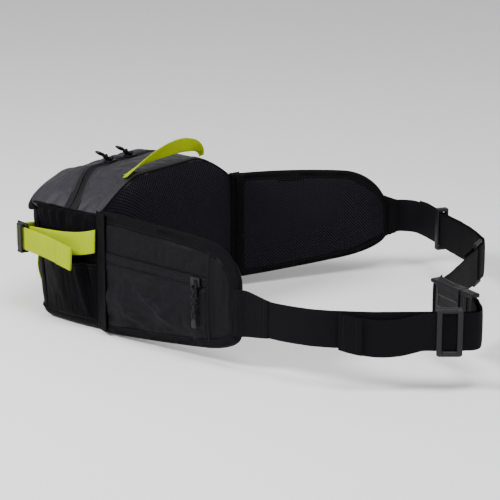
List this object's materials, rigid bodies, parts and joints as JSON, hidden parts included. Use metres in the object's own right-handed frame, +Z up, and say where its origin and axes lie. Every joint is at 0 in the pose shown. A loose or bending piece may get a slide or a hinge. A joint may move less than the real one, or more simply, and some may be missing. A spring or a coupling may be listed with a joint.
{
  "type": "waist pack",
  "caption": "Lumbar waist pack with a zipped main compartment, padded hip wings, side compression straps and a webbing belt closed by a side-release buckle.",
  "frame": {"origin": "on the flat underside of the bag, midway between its two sides", "axes": "+X towards the bag's right side, +Y from the front panel through the back panel to the belt, +Z up"},
  "size_m": [0.4254, 0.5323, 0.1919],
  "materials": {
    "black_ripstop": "matt coated ripstop nylon",
    "grey_ripstop": "matt grey coated nylon",
    "air_mesh": "open 3-D spacer mesh",
    "foam": "closed-cell foam",
    "black_webbing": "woven nylon webbing",
    "lime_webbing": "woven nylon webbing",
    "zip_tape": "woven zip tape",
    "zip_coil": "nylon coil",
    "black_acetal": "moulded acetal",
    "pull_cord": "braided cord with moulded end"
  },
  "bodies": {
    "pack_body": {"back_foam_pad": "foam", "back_mesh_cover": "air_mesh", "back_sheet": "black_ripstop", "base_panel": "black_ripstop", "compression_strap_left": "lime_webbing", "compression_strap_right": "lime_webbing", "front_edge_piping": "black_webbing", "front_gear_loop_left": "lime_webbing", "front_gear_loop_right": "lime_webbing", "front_panel": "black_ripstop", "ladder_anchor_left": "lime_webbing", "ladder_anchor_right": "lime_webbing", "main_zip_coil_left": "zip_coil", "main_zip_coil_right": "zip_coil", "main_zip_tape_front": "zip_tape", "main_zip_tape_rear": "zip_tape", "side_panel_left": "black_ripstop", "side_panel_right": "black_ripstop", "side_pocket_left": "black_ripstop", "side_pocket_right": "black_ripstop", "top_front_panel": "grey_ripstop", "top_rear_panel": "grey_ripstop"},
    "right_wing": {"wing_pad_right": "black_ripstop", "wing_mesh_lining_right": "air_mesh", "wing_pocket_right": "black_ripstop", "wing_binding_right": "black_webbing", "wing_zip_coil_right": "zip_coil", "wing_tip_anchor_right": "black_webbing"},
    "left_wing": {"wing_pad_left": "black_ripstop", "wing_mesh_lining_left": "air_mesh", "wing_pocket_left": "black_ripstop", "wing_binding_left": "black_webbing", "wing_zip_coil_left": "zip_coil", "wing_tip_anchor_left": "black_webbing", "belt_strap_left_rear": "black_webbing", "triglide_left": "black_acetal"},
    "belt_front": {"belt_strap_right": "black_webbing", "buckle_female": "black_acetal", "belt_strap_left_front": "black_webbing"},
    "triglide_right": {"triglide_right": "black_acetal"},
    "strap_keeper": {"strap_keeper": "black_acetal"},
    "buckle_male": {"buckle_male": "black_acetal"},
    "prong_upper": {"buckle_prong_upper": "black_acetal"},
    "prong_lower": {"buckle_prong_lower": "black_acetal"},
    "grab_handle": {"grab_handle": "lime_webbing"},
    "ladder_lock_right": {"ladder_lock_right": "black_acetal"},
    "ladder_lock_left": {"ladder_lock_left": "black_acetal"},
    "zip_slider_right": {"main_zip_slider_right": "black_acetal"},
    "zip_slider_left": {"main_zip_slider_left": "black_acetal"},
    "zip_pull_right": {"main_zip_pull_right": "pull_cord"},
    "zip_pull_left": {"main_zip_pull_left": "pull_cord"},
    "wing_slider_right": {"wing_zip_slider_right": "black_acetal"},
    "wing_slider_left": {"wing_zip_slider_left": "black_acetal"},
    "wing_pull_right": {"wing_zip_pull_right": "pull_cord"},
    "wing_pull_left": {"wing_zip_pull_left": "pull_cord"}
  },
  "joints": [
    {"name": "wing_sway_right", "type": "hinge", "parent": "pack_body", "child": "right_wing", "pos_m": [0.107, 0.049, 0.066], "axis": [0, 0, 1], "range_deg": [-8, 8], "deforming": ["belt_strap_left_front", "belt_strap_left_rear", "belt_strap_right"]},
    {"name": "wing_sway_left", "type": "hinge", "parent": "pack_body", "child": "left_wing", "pos_m": [-0.107, 0.049, 0.066], "axis": [0, 0, 1], "range_deg": [-8, 8], "deforming": ["belt_strap_left_front", "belt_strap_left_rear"]},
    {"name": "belt_front_swing", "type": "hinge", "parent": "right_wing", "child": "belt_front", "pos_m": [0.11291, 0.27492, 0.062], "axis": [0, 0, 1], "range_deg": [-8, 8], "deforming": ["belt_strap_left_front", "belt_strap_right"]},
    {"name": "buckle_release", "type": "slide", "parent": "belt_front", "child": "buckle_male", "axis": [0.3393, 0.9407, 0], "range_m": [0, 0.036], "deforming": ["belt_strap_right", "buckle_prong_upper", "buckle_prong_lower"]},
    {"name": "prong_squeeze_upper", "type": "hinge", "parent": "buckle_male", "child": "prong_upper", "pos_m": [-0.02733, 0.41046, 0.0762], "axis": [0.9407, -0.3393, 0], "range_deg": [0, 9], "stiffness_Nm_per_rad": 0.2},
    {"name": "prong_squeeze_lower", "type": "hinge", "parent": "buckle_male", "child": "prong_lower", "pos_m": [-0.02733, 0.41046, 0.0478], "axis": [-0.9407, 0.3393, 0], "range_deg": [0, 9], "stiffness_Nm_per_rad": 0.2},
    {"name": "triglide_right_slide", "type": "slide", "parent": "belt_front", "child": "triglide_right", "axis": [-0.6222, 0.7828, 0], "range_m": [-0.004, 0.003], "deforming": ["belt_strap_right"]},
    {"name": "keeper_slide", "type": "slide", "parent": "left_wing", "child": "strap_keeper", "axis": [0.522, 0.853, 0], "range_m": [-0.004, 0.004], "deforming": ["belt_strap_left_rear", "belt_strap_left_front"]},
    {"name": "handle_flop", "type": "hinge", "parent": "pack_body", "child": "grab_handle", "pos_m": [0, 0.042, 0.15754], "axis": [1, 0, 0], "range_deg": [-60, 10]},
    {"name": "ladder_tilt_right", "type": "hinge", "parent": "pack_body", "child": "ladder_lock_right", "pos_m": [0.10606, -0.07424, 0.085], "axis": [0, 0, -1], "range_deg": [0, 12], "deforming": ["compression_strap_right"]},
    {"name": "ladder_tilt_left", "type": "hinge", "parent": "pack_body", "child": "ladder_lock_left", "pos_m": [-0.10606, -0.07424, 0.085], "axis": [0, 0, 1], "range_deg": [0, 12], "deforming": ["compression_strap_left"]},
    {"name": "main_zip_right", "type": "slide", "parent": "pack_body", "child": "zip_slider_right", "axis": [1, 0, 0], "range_m": [0, 0.019]},
    {"name": "main_zip_left", "type": "slide", "parent": "pack_body", "child": "zip_slider_left", "axis": [-1, 0, 0], "range_m": [0, 0.027]},
    {"name": "main_pull_right", "type": "hinge", "parent": "zip_slider_right", "child": "zip_pull_right", "pos_m": [0.02, -0.018, 0.16133], "axis": [0, -1, 0], "range_deg": [-20, 75]},
    {"name": "main_pull_left", "type": "hinge", "parent": "zip_slider_left", "child": "zip_pull_left", "pos_m": [-0.012, -0.018, 0.16133], "axis": [0, -1, 0], "range_deg": [-20, 140]},
    {"name": "wing_zip_right", "type": "slide", "parent": "right_wing", "child": "wing_slider_right", "axis": [0.0262, 0.9997, 0], "range_m": [-0.095, 0.006]},
    {"name": "wing_zip_left", "type": "slide", "parent": "left_wing", "child": "wing_slider_left", "axis": [-0.8708, 0.4917, 0], "range_m": [-0.095, 0.006]},
    {"name": "wing_pull_right", "type": "hinge", "parent": "wing_slider_right", "child": "wing_pull_right", "pos_m": [0.123, 0.18863, 0.086], "axis": [-0.0262, -0.9997, 0], "range_deg": [0, 150]},
    {"name": "wing_pull_left", "type": "hinge", "parent": "wing_slider_left", "child": "wing_pull_left", "pos_m": [-0.23497, 0.10709, 0.086], "axis": [-0.8708, 0.4917, 0], "range_deg": [0, 150]}
  ],
  "couplings": [
    {"joint": "wing_sway_left", "follows": "wing_sway_right", "ratio": 0.8459},
    {"joint": "belt_front_swing", "follows": "wing_sway_right", "ratio": -0.7863}
  ]
}
